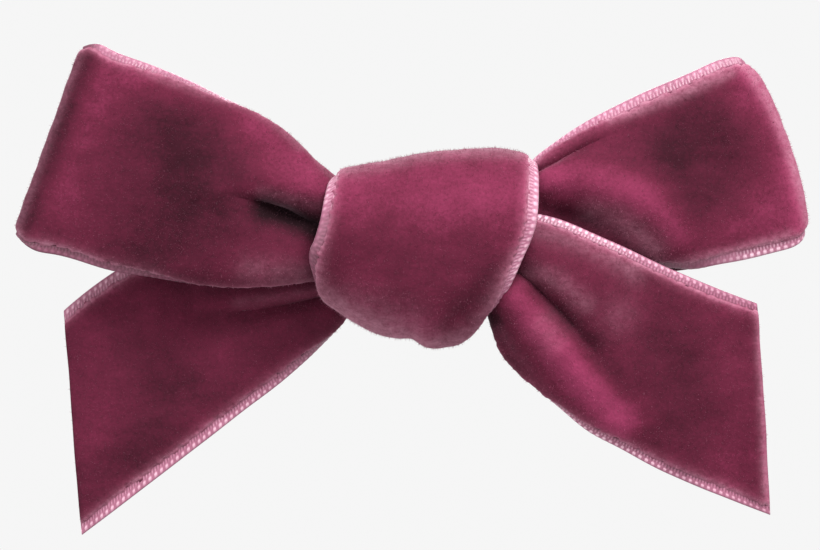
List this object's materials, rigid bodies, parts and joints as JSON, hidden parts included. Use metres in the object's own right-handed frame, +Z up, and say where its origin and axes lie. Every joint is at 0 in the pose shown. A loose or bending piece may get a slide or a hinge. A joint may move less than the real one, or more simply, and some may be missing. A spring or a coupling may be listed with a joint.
{
  "type": "barrette",
  "caption": "Velvet ribbon bow with two folded loops, two long slant-cut tails and a wrapped knot, tied round a curved steel spring clip with a hinged arm and a pinch latch.",
  "frame": {"origin": "the middle of the clip plate's hair side, on the line that the hair lies along", "axes": "+X along the clip towards the latch, to the right as the bow is seen; +Y from the bow through the clip to the head; +Z up as the bow is worn, with the loops up and the tails down"},
  "size_m": [0.102, 0.0303, 0.0628],
  "materials": {
    "velvet": "cut pile, matte with a pale sheen at the rims",
    "ribbon_back": "plain woven ground, slightly lustrous",
    "selvedge": "pale woven edge with bright loops",
    "clip_steel": "nickel-plated pressed strip",
    "spring_steel": "plain spring strip",
    "pin_steel": "smooth headed rivet",
    "glue": "cloudy set glue"
  },
  "bodies": {
    "bow_and_plate": {"base_plate": "clip_steel", "hinge_pin": "pin_steel", "knot_wrap": "velvet", "gathered_middle": "velvet", "loop_left": "velvet", "loop_right": "velvet", "tail_left": "velvet", "tail_right": "velvet", "glue_dabs": "glue"},
    "closing_arm": {"closing_arm": "clip_steel"},
    "tension_bar_hinge_half": {"tension_bar_hinge_half": "spring_steel"},
    "tension_bar_free_half": {"tension_bar_free_half": "spring_steel"},
    "latch_wing_upper": {"latch_wing_upper": "clip_steel"},
    "latch_wing_lower": {"latch_wing_lower": "clip_steel"}
  },
  "joints": [
    {"name": "arm_hinge", "type": "hinge", "parent": "bow_and_plate", "child": "closing_arm", "pos_m": [-0.02793, 0.00571, 0], "axis": [0, 0, 1], "range_deg": [0, 85]},
    {"name": "tension_bar_root", "type": "hinge", "parent": "bow_and_plate", "child": "tension_bar_hinge_half", "pos_m": [-0.02793, 0.00571, 0], "axis": [0, 0, -1], "range_deg": [0, 3.5], "stiffness_Nm_per_rad": 0.5},
    {"name": "tension_bar_crown", "type": "hinge", "parent": "tension_bar_hinge_half", "child": "tension_bar_free_half", "pos_m": [-0.00102, 0.00435, 0], "axis": [0, 0, 1], "range_deg": [0, 7], "stiffness_Nm_per_rad": 0.1},
    {"name": "latch_pinch_upper", "type": "hinge", "parent": "bow_and_plate", "child": "latch_wing_upper", "pos_m": [0.02795, 0.00276, 0.0026], "axis": [-0.9846, -0.175, 0], "range_deg": [0, 7], "stiffness_Nm_per_rad": 0.25},
    {"name": "latch_pinch_lower", "type": "hinge", "parent": "bow_and_plate", "child": "latch_wing_lower", "pos_m": [0.02795, 0.00276, -0.0026], "axis": [0.9846, 0.175, 0], "range_deg": [0, 7], "stiffness_Nm_per_rad": 0.25}
  ],
  "couplings": [
    {"joint": "tension_bar_crown", "follows": "tension_bar_root", "ratio": 2},
    {"joint": "latch_pinch_lower", "follows": "latch_pinch_upper", "ratio": 1}
  ]
}
